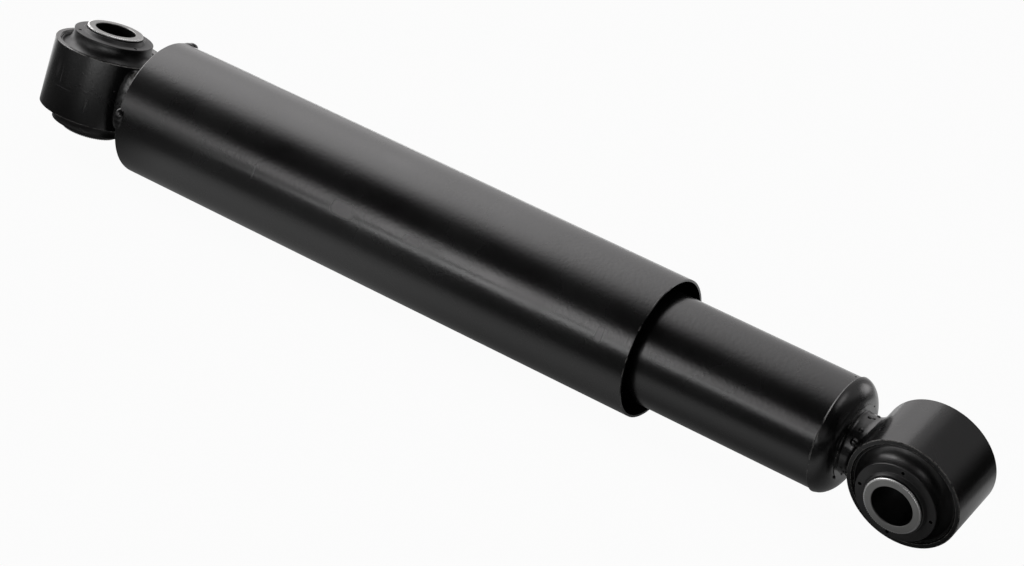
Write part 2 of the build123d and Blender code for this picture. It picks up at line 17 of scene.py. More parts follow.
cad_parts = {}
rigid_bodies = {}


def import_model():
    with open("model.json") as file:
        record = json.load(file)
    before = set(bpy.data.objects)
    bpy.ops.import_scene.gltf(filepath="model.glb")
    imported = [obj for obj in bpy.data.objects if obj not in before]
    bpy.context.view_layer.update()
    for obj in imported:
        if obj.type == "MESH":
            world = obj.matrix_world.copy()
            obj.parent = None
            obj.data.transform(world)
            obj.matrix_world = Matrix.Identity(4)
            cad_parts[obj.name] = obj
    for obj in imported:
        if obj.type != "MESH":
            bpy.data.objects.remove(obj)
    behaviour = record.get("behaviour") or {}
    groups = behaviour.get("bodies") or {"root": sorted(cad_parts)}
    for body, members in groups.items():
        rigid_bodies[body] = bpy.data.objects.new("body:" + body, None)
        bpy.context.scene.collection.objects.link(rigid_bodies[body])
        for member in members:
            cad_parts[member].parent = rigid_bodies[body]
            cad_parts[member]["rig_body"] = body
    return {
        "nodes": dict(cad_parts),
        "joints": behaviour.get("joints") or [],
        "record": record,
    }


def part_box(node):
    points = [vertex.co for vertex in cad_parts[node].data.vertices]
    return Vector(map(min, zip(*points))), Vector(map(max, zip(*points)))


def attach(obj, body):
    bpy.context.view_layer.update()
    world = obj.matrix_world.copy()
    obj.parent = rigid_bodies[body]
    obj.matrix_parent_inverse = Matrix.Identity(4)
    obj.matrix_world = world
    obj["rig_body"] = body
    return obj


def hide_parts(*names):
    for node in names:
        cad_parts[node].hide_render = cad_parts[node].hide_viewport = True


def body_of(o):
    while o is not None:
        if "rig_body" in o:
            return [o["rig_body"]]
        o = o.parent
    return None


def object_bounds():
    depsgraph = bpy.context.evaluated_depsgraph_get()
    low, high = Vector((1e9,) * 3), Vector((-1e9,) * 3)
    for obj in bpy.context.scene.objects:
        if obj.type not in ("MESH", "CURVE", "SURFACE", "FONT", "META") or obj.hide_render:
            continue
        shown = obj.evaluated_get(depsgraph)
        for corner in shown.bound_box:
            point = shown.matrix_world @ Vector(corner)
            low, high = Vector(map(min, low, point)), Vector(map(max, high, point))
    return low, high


bl_info = {
    "name": "Shock absorber finish",
    "version": (1, 0, 0),
    "blender": (4, 5, 0),
    "location": "View3D > Sidebar > Damper",
    "description": "Dresses the packed shock absorber with rubber bushes, welds, paint and a studio",
    "category": "Object",
}

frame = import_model()
cad_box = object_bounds()

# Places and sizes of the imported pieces
JOINTS = {joint["name"]: joint for joint in frame["joints"]}
RING_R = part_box("upper_eye_ring")[1].x
RING_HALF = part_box("upper_eye_ring")[1].z
SLEEVE_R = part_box("upper_sleeve")[1].x
SLEEVE_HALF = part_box("upper_sleeve")[1].z
RUBBER_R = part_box("upper_bush")[1].x
COLLAR_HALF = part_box("upper_bush")[1].z
TUBE_LOW, TUBE_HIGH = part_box("dust_tube")
TUBE_R = TUBE_HIGH.z
PLATE_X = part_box("dust_end_plate")[0].x
RESERVOIR_R = 0.0325  # beside the rolled bead, which stands out further
CAP_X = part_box("lower_end_cap")[1].x
CAP_BOSS_X = CAP_X - 0.0002
BUSH_GAP = 0.00005  # between sleeve and rubber
BARREL_BULGE = 0.040  # half height at which the sides of the upper weld would meet
LOWER_NECK_R = 0.0180
ROUND = 2 * pi


class DamperSizes(bpy.types.PropertyGroup):
    """Sizes of the pieces that are modelled here."""

    bolt_bore: FloatProperty(
        name="Bolt bore", description="Radius of the hole for the bolt", default=0.0122, unit="LENGTH")
    sleeve_edge: FloatProperty(
        name="Sleeve edge", description="Chamfer at the ends of a sleeve", default=0.00025, unit="LENGTH")
    sleeve_teeth: IntProperty(
        name="Sleeve teeth", description="Serrations round each end of a sleeve", default=84)
    tooth_depth: FloatProperty(
        name="Tooth depth", description="Depth of one serration", default=0.0005, unit="LENGTH")
    tooth_length: FloatProperty(
        name="Tooth length", description="Radial length of one serration", default=0.0007, unit="LENGTH")
    rim_width: FloatProperty(
        name="Rubber rim", description="Width of the flat rim beside the ring", default=0.0013,
        unit="LENGTH")
    rim_step: FloatProperty(
        name="Rim step", description="How far the rim lies inside the ring's edge", default=0.0012,
        unit="LENGTH")
    root_recess: FloatProperty(
        name="Saucer root", description="Depth of the saucer below the ring's edge", default=0.0025,
        unit="LENGTH")
    saucer_width: FloatProperty(
        name="Saucer width", description="Radial width of the hollow flank", default=0.0045, unit="LENGTH")
    saucer_depth: FloatProperty(
        name="Saucer depth", description="Sagitta of the hollow flank", default=0.0018, unit="LENGTH")
    lip_height: FloatProperty(
        name="Lip height", description="Height of the flat face above the eye's middle", default=0.0283,
        unit="LENGTH")
    lip_edge: FloatProperty(
        name="Lip edge", description="Rounding of the lip round the face", default=0.0005, unit="LENGTH")
    collar_wall: FloatProperty(
        name="Collar wall", description="Thickness of the collar round the sleeve", default=0.0011,
        unit="LENGTH")
    collar_draft: FloatProperty(
        name="Collar draft", description="How much wider the collar is at its foot", default=0.0006,
        unit="LENGTH")
    pin_hole: FloatProperty(
        name="Pin hole", description="Radius of a moulding pin's hole", default=0.0011, unit="LENGTH")
    pin_inset: FloatProperty(
        name="Pin inset", description="Distance of a pin hole from the lip", default=0.0031, unit="LENGTH")
    pin_depth: FloatProperty(
        name="Pin depth", description="Depth of a pin hole", default=0.005, unit="LENGTH")
    turn_steps: IntProperty(
        name="Steps", description="Facets round a turned piece", default=96)


class DamperFinish(bpy.types.PropertyGroup):
    """Colours and gloss of the finishes."""

    paint: FloatVectorProperty(
        name="Paint", description="Colour of the black paint", default=(0.0036, 0.0036, 0.0038),
        subtype="COLOR")
    # This colour also lightens patches on the tubes as painted sheen.
    haze_and_sheen: FloatVectorProperty(
        name="Haze", description="Colour of dust and wipe marks on paint", default=(0.24, 0.236, 0.24),
        subtype="COLOR")
    rubber: FloatVectorProperty(
        name="Rubber", description="Colour of the bush rubber", default=(0.005, 0.005, 0.005),
        subtype="COLOR")
    bloom: FloatVectorProperty(
        name="Bloom", description="Grey bloom on the rubber", default=(0.04, 0.04, 0.041), subtype="COLOR")
    steel: FloatVectorProperty(
        name="Steel", description="Colour of bare steel", default=(0.50, 0.50, 0.49), subtype="COLOR")
    burnished: FloatVectorProperty(
        name="Burnished steel", description="Colour of the steel on the serrations",
        default=(0.95, 0.95, 0.94), subtype="COLOR")
    # This colour also paints a highlight on the upper weld neck.
    wear_and_highlight: FloatVectorProperty(
        name="Worn paint", description="Colour of metal that shows through the paint",
        default=(0.30, 0.295, 0.28), subtype="COLOR")
    paint_roughness: FloatProperty(
        name="Paint roughness", description="Roughness of the paint under its skin", default=0.25,
        min=0.0, max=1.0, subtype="FACTOR")
    skin_roughness: FloatProperty(
        name="Skin roughness", description="Roughness of the paint's glossy skin", default=0.13,
        min=0.0, max=1.0, subtype="FACTOR")


class DamperStage(bpy.types.PropertyGroup):
    """Where the camera and the lamps stand."""

    camera_place: FloatVectorProperty(
        name="Camera", description="Where the camera stands", default=(1.0144, -1.4945, 0.5226),
        subtype="TRANSLATION", unit="LENGTH")
    azimuth: FloatProperty(
        name="Azimuth", description="Turn of the camera round the object", default=radians(25.6045),
        unit="ROTATION")
    elevation: FloatProperty(
        name="Elevation", description="Height angle of the camera", default=radians(17.6036),
        unit="ROTATION")
    roll: FloatProperty(
        name="Roll", description="Tilt of the picture", default=radians(17.4822), unit="ROTATION")
    lens: FloatProperty(
        name="Lens", description="Focal length in millimetres", default=109.8)
    kicker_place: FloatVectorProperty(
        name="Kicker", description="Where the lamp behind the rod end stands", default=(-2.4, -0.6, 2.64),
        subtype="TRANSLATION", unit="LENGTH")
    kicker_size: FloatProperty(
        name="Kicker size", description="Side of that lamp", default=0.74, unit="LENGTH")
    kicker_radiance: FloatProperty(
        name="Kicker radiance", description="Brightness of that lamp's face", default=3.2, min=0.0)


def eye_place(joint):
    """Frame of an eye: X along the damper, Z along the bore and Y across both."""
    bore = Vector(joint["axis"])
    along = Vector((1, 0, 0))
    place = Matrix((along, bore.cross(along), bore)).transposed().to_4x4()
    place.translation = Vector(joint["pos_m"])
    return place


UPPER_EYE = eye_place(JOINTS["upper_bush_twist"])
LOWER_EYE = eye_place(JOINTS["lower_bush_twist"])


def turned(profile, steps):
    """A closed outline of (radius, height) pairs, spun into a solid about Z."""
    bm = bmesh.new()
    verts = [bm.verts.new((radius, 0, height)) for radius, height in profile]
    edges = [bm.edges.new(pair) for pair in zip(verts, verts[1:] + verts[:1])]
    bmesh.ops.spin(
        bm, geom=verts + edges, cent=(0, 0, 0), axis=(0, 0, 1), angle=ROUND, steps=steps, use_merge=True
    )
    bmesh.ops.recalc_face_normals(bm, faces=bm.faces)
    return bm


def sag_arc(start, end, sagitta, count):
    """Points strictly between start and end on a shallow arc that bulges to the left of the way."""
    (x0, y0), (x1, y1) = start, end
    dx, dy = x1 - x0, y1 - y0
    length = hypot(dx, dy)
    points = []
    for index in range(1, count):
        share = index / count
        bulge = 4 * sagitta * share * (1 - share) / length
        points.append((x0 + dx * share - dy * bulge, y0 + dy * share + dx * bulge))
    return points


def make_piece(name, bm, material, body, slot, *nodes, sharp=radians(38)):
    """Turns a finished bmesh into a smooth piece that rides on its body and stands for CAD nodes."""
    mesh = bpy.data.meshes.new(name)
    bm.to_mesh(mesh)
    bm.free()
    mesh.shade_smooth()
    mesh.set_sharp_from_angle(angle=sharp)
    mesh.materials.append(material)
    piece = bpy.data.objects.new(name, mesh)
    bpy.context.scene.collection.objects.link(piece)
    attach(piece, body)
    if nodes:
        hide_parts(*nodes)
    return piece


def add(tree, kind, inputs=None, **settings):
    """A shader node with its settings, whose inputs are constants or other nodes' outputs."""
    node = tree.nodes.new("ShaderNode" + kind)
    for name, value in settings.items():
        setattr(node, name, value)
    for key, value in (inputs or {}).items():
        if isinstance(value, bpy.types.NodeSocket):
            tree.links.new(value, node.inputs[key])
        else:
            node.inputs[key].default_value = value
    return node


def sums(tree, operation, *values):
    """The output of one Math node."""
    return add(tree, "Math", dict(enumerate(values)), operation=operation).outputs[0]


def product(tree, first, *others):
    """Several values multiplied together."""
    for other in others:
        first = sums(tree, "MULTIPLY", first, other)
    return first


def ramp(tree, value, low, high, start=0.0, end=1.0, smooth=True):
    """Value moved from the range low to high into the range start to end, and held there."""
    node = add(
        tree, "MapRange",
        {"Value": value, "From Min": low, "From Max": high, "To Min": start, "To Max": end},
        interpolation_type="SMOOTHSTEP" if smooth else "LINEAR",
    )
    return node.outputs["Result"]


def blend_colour(tree, share, first, second):
    """First colour turning to the second one by share."""
    node = add(tree, "Mix", {0: share}, data_type="RGBA")
    for key, colour in ((6, first), (7, second)):
        if isinstance(colour, bpy.types.NodeSocket):
            tree.links.new(colour, node.inputs[key])
        else:
            node.inputs[key].default_value = (*colour, 1)
    return node.outputs[2]


def shader_group(name, inputs, outputs, build):
    """A node group with named sockets, built once by build(tree, source) -> {output name: socket}."""
    if name in bpy.data.node_groups:
        return bpy.data.node_groups[name]
    tree = bpy.data.node_groups.new(name, "ShaderNodeTree")
    for label, (kind, default) in inputs.items():
        socket = tree.interface.new_socket(name=label, in_out="INPUT", socket_type="NodeSocket" + kind)
        if default is not None:
            socket.default_value = default
    for label, kind in outputs.items():
        tree.interface.new_socket(name=label, in_out="OUTPUT", socket_type="NodeSocket" + kind)
    source = tree.nodes.new("NodeGroupInput").outputs
    target = tree.nodes.new("NodeGroupOutput").inputs
    for label, socket in build(tree, source).items():
        tree.links.new(socket, target[label])
    return tree


def build_paint_skin(tree, source):
    """Orange peel of sprayed paint, with a finer grit and a broad mottle."""
    vector = source["Vector"]
    peel = add(tree, "TexNoise", {"Vector": vector, "Scale": source["Peel Scale"], "Detail": 1.5})
    grit_scale = sums(tree, "MULTIPLY", source["Peel Scale"], 4.3)
    grit = add(tree, "TexNoise", {"Vector": vector, "Scale": grit_scale, "Detail": 2.0})
    broad = add(tree, "TexNoise", {"Vector": vector, "Scale": source["Mottle Scale"], "Detail": 4.0})
    fine = sums(tree, "MULTIPLY", grit.outputs["Fac"], source["Grit"])
    return {
        "Height": sums(tree, "ADD", peel.outputs["Fac"], fine),
        "Mottle": ramp(tree, broad.outputs["Fac"], 0.32, 0.68),
    }


def build_edge_wear(tree, source):
    """Mask of thin, broken wear along sharp edges, from how far a rounded normal leans away."""
    rounded = add(tree, "Bevel", {"Radius": source["Radius"]}, samples=6)
    true_normal = add(tree, "NewGeometry").outputs["True Normal"]
    lean = add(tree, "VectorMath", {0: rounded.outputs["Normal"], 1: true_normal}, operation="DOT_PRODUCT")
    sharp = ramp(tree, lean.outputs["Value"], 0.992, 0.955)
    vector, level = source["Vector"], source["Chip Level"]
    chips = add(tree, "TexNoise", {"Vector": vector, "Scale": source["Chip Scale"], "Detail": 3.0})
    broken = ramp(tree, chips.outputs["Fac"], level, sums(tree, "ADD", level, 0.12))
    return {"Mask": sums(tree, "MULTIPLY", sharp, broken)}


def build_patch(tree, source):
    """Soft patch with round corners at a place, with a ragged border."""
    vector = source["Vector"]
    ragged = add(tree, "TexNoise", {"Vector": vector, "Scale": source["Ragged Scale"], "Detail": 4.0})
    offset = add(tree, "VectorMath", {0: vector, 1: source["Centre"]}, operation="SUBTRACT")
    scaled = add(tree, "VectorMath", {0: offset.outputs[0], 1: source["Half Size"]}, operation="DIVIDE")
    squared = add(tree, "VectorMath", {0: scaled.outputs[0], 1: scaled.outputs[0]}, operation="MULTIPLY")
    away = add(tree, "VectorMath", {0: squared.outputs[0]}, operation="LENGTH").outputs["Value"]
    away = sums(tree, "SQRT", away)
    shift = sums(tree, "MULTIPLY", sums(tree, "SUBTRACT", ragged.outputs["Fac"], 0.5), source["Raggedness"])
    return {"Mask": ramp(tree, sums(tree, "ADD", away, shift), 1.0, source["Core"])}


def build_specks(tree, source):
    """Small dots scattered on a surface, such as spatter under the paint."""
    cells = add(tree, "TexVoronoi", {"Vector": source["Vector"], "Scale": source["Scale"]})
    dots = ramp(tree, cells.outputs["Distance"], source["Size"], 0.0)
    pick = add(tree, "SeparateColor", {0: cells.outputs["Color"]}).outputs[0]
    return {"Mask": sums(tree, "MULTIPLY", dots, sums(tree, "GREATER_THAN", pick, source["Rarity"]))}


def build_turning(tree, source):
    """Fine rings left by a turning tool about an axis through the origin of the vector's XY plane."""
    flat = add(tree, "VectorMath", {0: source["Vector"], 1: (1, 1, 0)}, operation="MULTIPLY")
    away = add(tree, "VectorMath", {0: flat.outputs[0]}, operation="LENGTH").outputs["Value"]
    lines = add(
        tree, "TexNoise", {"W": sums(tree, "DIVIDE", away, source["Pitch"]), "Scale": 1.0, "Detail": 2.0},
        noise_dimensions="1D",
    )
    return {"Lines": lines.outputs["Fac"]}


GROUPS = {
    "paint skin": (
        {"Vector": ("Vector", None), "Peel Scale": ("Float", 700.0), "Grit": ("Float", 0.25),
         "Mottle Scale": ("Float", 28.0)},
        {"Height": "Float", "Mottle": "Float"}, build_paint_skin),
    "edge wear": (
        {"Vector": ("Vector", None), "Radius": ("Float", 0.0006), "Chip Scale": ("Float", 420.0),
         "Chip Level": ("Float", 0.5)},
        {"Mask": "Float"}, build_edge_wear),
    "patch": (
        {"Vector": ("Vector", None), "Centre": ("Vector", (0, 0, 0)), "Half Size": ("Vector", (1, 1, 1)),
         "Core": ("Float", 0.4), "Ragged Scale": ("Float", 150.0), "Raggedness": ("Float", 0.5)},
        {"Mask": "Float"}, build_patch),
    "specks": (
        {"Vector": ("Vector", None), "Scale": ("Float", 300.0), "Size": ("Float", 0.3),
         "Rarity": ("Float", 0.9)},
        {"Mask": "Float"}, build_specks),
    "turning": (
        {"Vector": ("Vector", None), "Pitch": ("Float", 0.0002)},
        {"Lines": "Float"}, build_turning),
}


def use_group(tree, name, vector, **values):
    """Places a shared effect in a material, with its own values, and returns its outputs."""
    inputs, outputs, build = GROUPS[name]
    node = tree.nodes.new("ShaderNodeGroup")
    node.node_tree = shader_group(name, inputs, outputs, build)
    tree.links.new(vector, node.inputs["Vector"])
    for key, value in values.items():
        node.inputs[key.replace("_", " ").title()].default_value = value
    return node.outputs


def new_material(name):
    """An empty node material: its tree, its surface shader and its object coordinates."""
    material = bpy.data.materials.new(name)
    material.use_nodes = True
    tree = material.node_tree
    tree.nodes.clear()
    shader = add(tree, "BsdfPrincipled")
    output = add(tree, "OutputMaterial")
    tree.links.new(shader.outputs[0], output.inputs["Surface"])
    vector = add(tree, "TexCoord").outputs["Object"]
    return material, tree, shader, vector


def local_vector(tree, vector, place):
    """Object coordinates seen from an eye's own frame."""
    move = {"Vector": vector, "Location": place.translation, "Rotation": place.to_euler()}
    return add(tree, "Mapping", move, vector_type="TEXTURE").outputs[0]


def set_bump(tree, shader, height, depth, strength=1.0):
    """Joins a height in the unit range to the shader's normal, with its real depth in metres."""
    bump = add(tree, "Bump", {"Height": height, "Distance": depth, "Strength": strength})
    tree.links.new(bump.outputs[0], shader.inputs["Normal"])


def paint_material(
    name, patches=(), wear_and_highlight_patches=(), peel_depth=0.000018, peel_scale=700.0, wear_level=0.5, lumps=0.0,
    specks=0.0, gloss=1.0,
):
    """Semi-gloss black paint over steel, with orange peel and wear on sharp edges.

    A patch of positive strength is lighter and hazy, partly painted sheen, and one of negative strength
    glossier than the rest.
    """
    finish = bpy.context.scene.damper_finish
    material, tree, shader, vector = new_material(name)
    skin = use_group(tree, "paint skin", vector, peel_scale=peel_scale, grit=0.3, mottle_scale=24.0)
    haze_and_sheen = sums(tree, "MULTIPLY", skin["Mottle"], 0.006)
    shine = 0.0
    # Patches of positive strength lighten the paint: dust and wipe marks, and painted sheen on the highlight
    # bands.
    for centre, half_size, strength, core in patches:
        patch = use_group(
            tree, "patch", vector, centre=centre, half_size=half_size, core=core, ragged_scale=210.0,
            raggedness=0.5,
        )
        if strength > 0:
            haze_and_sheen = sums(tree, "MAXIMUM", haze_and_sheen, sums(tree, "MULTIPLY", patch["Mask"], strength))
        else:
            shine = sums(tree, "MAXIMUM", shine, sums(tree, "MULTIPLY", patch["Mask"], -strength))
    wear = use_group(tree, "edge wear", vector, radius=0.0005, chip_scale=330.0, chip_level=wear_level)
    wear_and_highlight = wear["Mask"]
    # Light patches in the bare metal colour: wear, and a painted highlight on the weld.
    for centre, half_size, strength, core in wear_and_highlight_patches:
        wear_and_highlight_patch = use_group(
            tree, "patch", vector, centre=centre, half_size=half_size, core=core, ragged_scale=900.0,
            raggedness=1.6,
        )
        wear_and_highlight = sums(tree, "MAXIMUM", wear_and_highlight, sums(tree, "MULTIPLY", wear_and_highlight_patch["Mask"], strength))
    colour = blend_colour(tree, haze_and_sheen, finish.paint, finish.haze_and_sheen)
    colour = blend_colour(tree, wear_and_highlight, colour, finish.wear_and_highlight)
    tree.links.new(colour, shader.inputs["Base Color"])
    base = finish.paint_roughness
    rough = ramp(tree, skin["Mottle"], 0.0, 1.0, base - 0.03, base + 0.04, smooth=False)
    tree.links.new(sums(tree, "ADD", rough, sums(tree, "MULTIPLY", haze_and_sheen, 0.12)), shader.inputs["Roughness"])
    dull = add(tree, "TexNoise", {"Vector": vector, "Scale": 26.0, "Detail": 2.0}).outputs["Fac"]
    dull = ramp(tree, dull, 0.36, 0.68, 0.0, 0.08)
    dull = sums(tree, "ADD", dull, sums(tree, "MULTIPLY", haze_and_sheen, 0.25))
    dull = sums(tree, "ADD", dull, finish.skin_roughness)
    dull = sums(tree, "SUBTRACT", dull, sums(tree, "MULTIPLY", shine, 0.1))
    tree.links.new(dull, shader.inputs["Coat Roughness"])
    shader.inputs["Specular IOR Level"].default_value = 0.5 * gloss
    shader.inputs["Coat Weight"].default_value = gloss
    height = skin["Height"]
    if lumps:
        broad = add(tree, "TexNoise", {"Vector": vector, "Scale": 240.0, "Detail": 3.0}).outputs["Fac"]
        height = sums(tree, "ADD", height, sums(tree, "MULTIPLY", broad, lumps))
    if specks:
        dots = use_group(tree, "specks", vector, scale=260.0, size=0.22, rarity=0.86)["Mask"]
        height = sums(tree, "ADD", height, sums(tree, "MULTIPLY", dots, specks))
    set_bump(tree, shader, height, peel_depth)
    tree.links.new(shader.inputs["Normal"].links[0].from_socket, shader.inputs["Coat Normal"])
    return material


def rubber_material(name, place, dust):
    """Moulded black rubber, glossy on its flank, with fine flow rings and dust on its flat face."""
    finish = bpy.context.scene.damper_finish
    sizes = bpy.context.scene.damper_sizes
    material, tree, shader, vector = new_material(name)
    local = local_vector(tree, vector, place)
    skin = use_group(tree, "paint skin", local, peel_scale=1500.0, grit=0.6, mottle_scale=60.0)
    rings = use_group(tree, "turning", local, pitch=0.0007)["Lines"]
    height_of = sums(tree, "ABSOLUTE", add(tree, "SeparateXYZ", {0: local}).outputs["Z"])
    face = ramp(tree, height_of, sizes.lip_height - 0.0005, sizes.lip_height)
    mottle = sums(tree, "MULTIPLY", skin["Mottle"], 0.1)
    bloom = sums(tree, "ADD", sums(tree, "MULTIPLY", face, dust), mottle)
    tree.links.new(blend_colour(tree, bloom, finish.rubber, finish.bloom), shader.inputs["Base Color"])
    tree.links.new(ramp(tree, skin["Mottle"], 0.0, 1.0, 0.34, 0.42), shader.inputs["Roughness"])
    shader.inputs["Coat Weight"].default_value = 0.8 - 0.4 * dust
    tree.links.new(ramp(tree, face, 0.0, 1.0, 0.2 + 0.1 * dust, 0.4), shader.inputs["Coat Roughness"])
    set_bump(tree, shader, sums(tree, "ADD", skin["Height"], sums(tree, "MULTIPLY", rings, 0.7)), 0.000016)
    tree.links.new(shader.inputs["Normal"].links[0].from_socket, shader.inputs["Coat Normal"])
    return material


def sleeve_material(name, place):
    """Sleeve: bare turned steel on its end faces, black on its sides and in its bore."""
    finish = bpy.context.scene.damper_finish
    material, tree, shader, vector = new_material(name)
    local = local_vector(tree, vector, place)
    lines = use_group(tree, "turning", local, pitch=0.00016)["Lines"]
    skin = use_group(tree, "paint skin", local, peel_scale=900.0, grit=0.4, mottle_scale=120.0)
    height_of = sums(tree, "ABSOLUTE", add(tree, "SeparateXYZ", {0: local}).outputs["Z"])
    edge = bpy.context.scene.damper_sizes.sleeve_edge
    bare = ramp(tree, height_of, SLEEVE_HALF - edge * 3.2, SLEEVE_HALF - edge * 2.8)
    flat = add(tree, "VectorMath", {0: local, 1: (1, 1, 0)}, operation="MULTIPLY")
    away = add(tree, "VectorMath", {0: flat.outputs[0]}, operation="LENGTH").outputs["Value"]
    burnished = ramp(tree, away, SLEEVE_R - 0.0012, SLEEVE_R - 0.0007)
    steel = blend_colour(tree, lines, [part * 0.7 for part in finish.steel], finish.steel)
    steel = blend_colour(tree, burnished, steel, finish.burnished)
    tree.links.new(blend_colour(tree, bare, finish.paint, steel), shader.inputs["Base Color"])
    tree.links.new(bare, shader.inputs["Metallic"])
    tree.links.new(ramp(tree, skin["Mottle"], 0.0, 1.0, 0.34, 0.46), shader.inputs["Roughness"])
    set_bump(tree, shader, sums(tree, "ADD", sums(tree, "MULTIPLY", lines, bare), skin["Height"]), 0.00002)
    return material


def metal_material(name, colour, roughness, metallic=1.0, pitch=0.0003, depth=0.000004):
    """A bare machined part inside the damper, with tool marks about its axis."""
    material, tree, shader, vector = new_material(name)
    across = add(tree, "Mapping", {"Vector": vector, "Rotation": (0, radians(90), 0)}, vector_type="POINT")
    lines = use_group(tree, "turning", across.outputs[0], pitch=pitch)["Lines"]
    skin = use_group(tree, "paint skin", vector, peel_scale=1200.0, grit=0.5, mottle_scale=90.0)
    dark = [part * 0.72 for part in colour]
    tree.links.new(blend_colour(tree, skin["Mottle"], dark, colour), shader.inputs["Base Color"])
    tree.links.new(
        ramp(tree, skin["Mottle"], 0.0, 1.0, roughness * 0.85, roughness * 1.15), shader.inputs["Roughness"]
    )
    shader.inputs["Metallic"].default_value = metallic
    set_bump(tree, shader, sums(tree, "ADD", lines, skin["Height"]), depth)
    return material


def on_tube(x, angle_deg, radius):
    """A point on a tube about the damper's axis, at an angle from +Z towards -Y."""
    angle = radians(angle_deg)
    return Vector((x, -radius * sin(angle), radius * cos(angle)))


def rubber_profile(sizes):
    """Outline of a bush: bonded wall, rim, hollow flank, flat face and collar, the same at both ends."""
    root_r = RUBBER_R - sizes.rim_width
    lip_r = root_r - sizes.saucer_width
    inner_r = SLEEVE_R + BUSH_GAP
    collar_r = inner_r + sizes.collar_wall
    rim_height = RING_HALF - sizes.rim_step
    root = (root_r, RING_HALF - sizes.root_recess)
    lip = (lip_r, sizes.lip_height - sizes.lip_edge)
    upper = [(RUBBER_R, rim_height - 0.0004), (RUBBER_R - 0.0004, rim_height)]
    upper += [(root_r + 0.0005, rim_height), root]
    upper += sag_arc(root, lip, sizes.saucer_depth, 16) + [lip]
    for turn in (25, 50, 70, 90):
        fall = 1 - sin(radians(turn))
        run = 1 - cos(radians(turn))
        upper.append((lip_r - sizes.lip_edge * run, sizes.lip_height - sizes.lip_edge * fall))
    foot_r = collar_r + sizes.collar_draft
    upper += [
        (foot_r + 0.0004, sizes.lip_height), (foot_r, sizes.lip_height + 0.0003),
        (collar_r, COLLAR_HALF - 0.0003), (collar_r - 0.0003, COLLAR_HALF), (inner_r, COLLAR_HALF),
    ]
    lower = [(radius, -height) for radius, height in reversed(upper)]
    return upper + lower


def sink_hole(bm, centre, radius, depth):
    """Sinks a round blind hole in the flat face beside centre."""
    out = Vector((0, 0, 1 if centre.z > 0 else -1))
    near = [edge for edge in bm.edges if all(abs(face.normal.dot(out)) > 0.9 for face in edge.link_faces)]
    rib = min(near, key=lambda edge: ((edge.verts[0].co + edge.verts[1].co) / 2 - centre).length)
    middle = (rib.verts[0].co + rib.verts[1].co) / 2
    bmesh.ops.dissolve_edges(bm, edges=[rib], use_verts=False)
    face = min(bm.faces, key=lambda item: (item.calc_center_median() - middle).length)
    centre = face.calc_center_median()
    bmesh.ops.inset_individual(bm, faces=[face], thickness=radius * 0.3)
    bmesh.ops.subdivide_edges(bm, edges=face.edges[:], cuts=2)
    for vert in face.verts:
        away = vert.co - centre
        vert.co = centre + away.normalized() * radius
    floor = bmesh.ops.extrude_discrete_faces(bm, faces=[face])["faces"][0]
    bmesh.ops.translate(bm, vec=-out * depth, verts=floor.verts[:])


def make_bush(name, place, sizes, hole_angles):
    """A moulded rubber bush in its eye's frame, with pin holes in both flat faces."""
    bm = turned(rubber_profile(sizes), sizes.turn_steps)
    hole_r = RUBBER_R - sizes.rim_width - sizes.saucer_width - sizes.pin_inset
    for side in (1, -1):
        for angle in hole_angles:
            at = radians(angle)
            spot = Vector((hole_r * cos(at), hole_r * sin(at), side * sizes.lip_height))
            sink_hole(bm, spot, sizes.pin_hole, sizes.pin_depth)
    bmesh.ops.recalc_face_normals(bm, faces=bm.faces)
    bmesh.ops.transform(bm, matrix=place, verts=bm.verts)
    return bm


def make_sleeve(place, sizes):
    """A thick sleeve whose end faces are serrated round their outer edge."""
    edge = sizes.sleeve_edge
    land_r = SLEEVE_R - edge - sizes.tooth_length
    upper = [
        (SLEEVE_R, SLEEVE_HALF - 3 * edge), (SLEEVE_R - edge, SLEEVE_HALF), (land_r, SLEEVE_HALF),
        (sizes.bolt_bore + edge, SLEEVE_HALF), (sizes.bolt_bore, SLEEVE_HALF - edge),
    ]
    lower = [(radius, -height) for radius, height in reversed(upper)]
    steps = 2 * sizes.sleeve_teeth
    bm = turned(upper + lower, steps)
    for vert in bm.verts:
        radius = hypot(vert.co.x, vert.co.y)
        odd = round(atan2(vert.co.y, vert.co.x) / (ROUND / steps)) % 2
        if odd and abs(radius - (SLEEVE_R - edge)) < edge / 4:
            vert.co.z -= sizes.tooth_depth * (1 if vert.co.z > 0 else -1)
    bmesh.ops.transform(bm, matrix=place, verts=bm.verts)
    return bm


def barrel_outline(angle, across, along):
    """Radius of a weld with bulging sides and a flat top, at an angle round the neck."""
    side = hypot(cos(angle) / across, sin(angle) / BARREL_BULGE)
    return (side**10 + abs(sin(angle) / along) ** 10) ** -0.1


def oval_outline(angle, across, along):
    """Radius of an ellipse, at an angle round the neck."""
    return 1 / hypot(cos(angle) / across, sin(angle) / along)


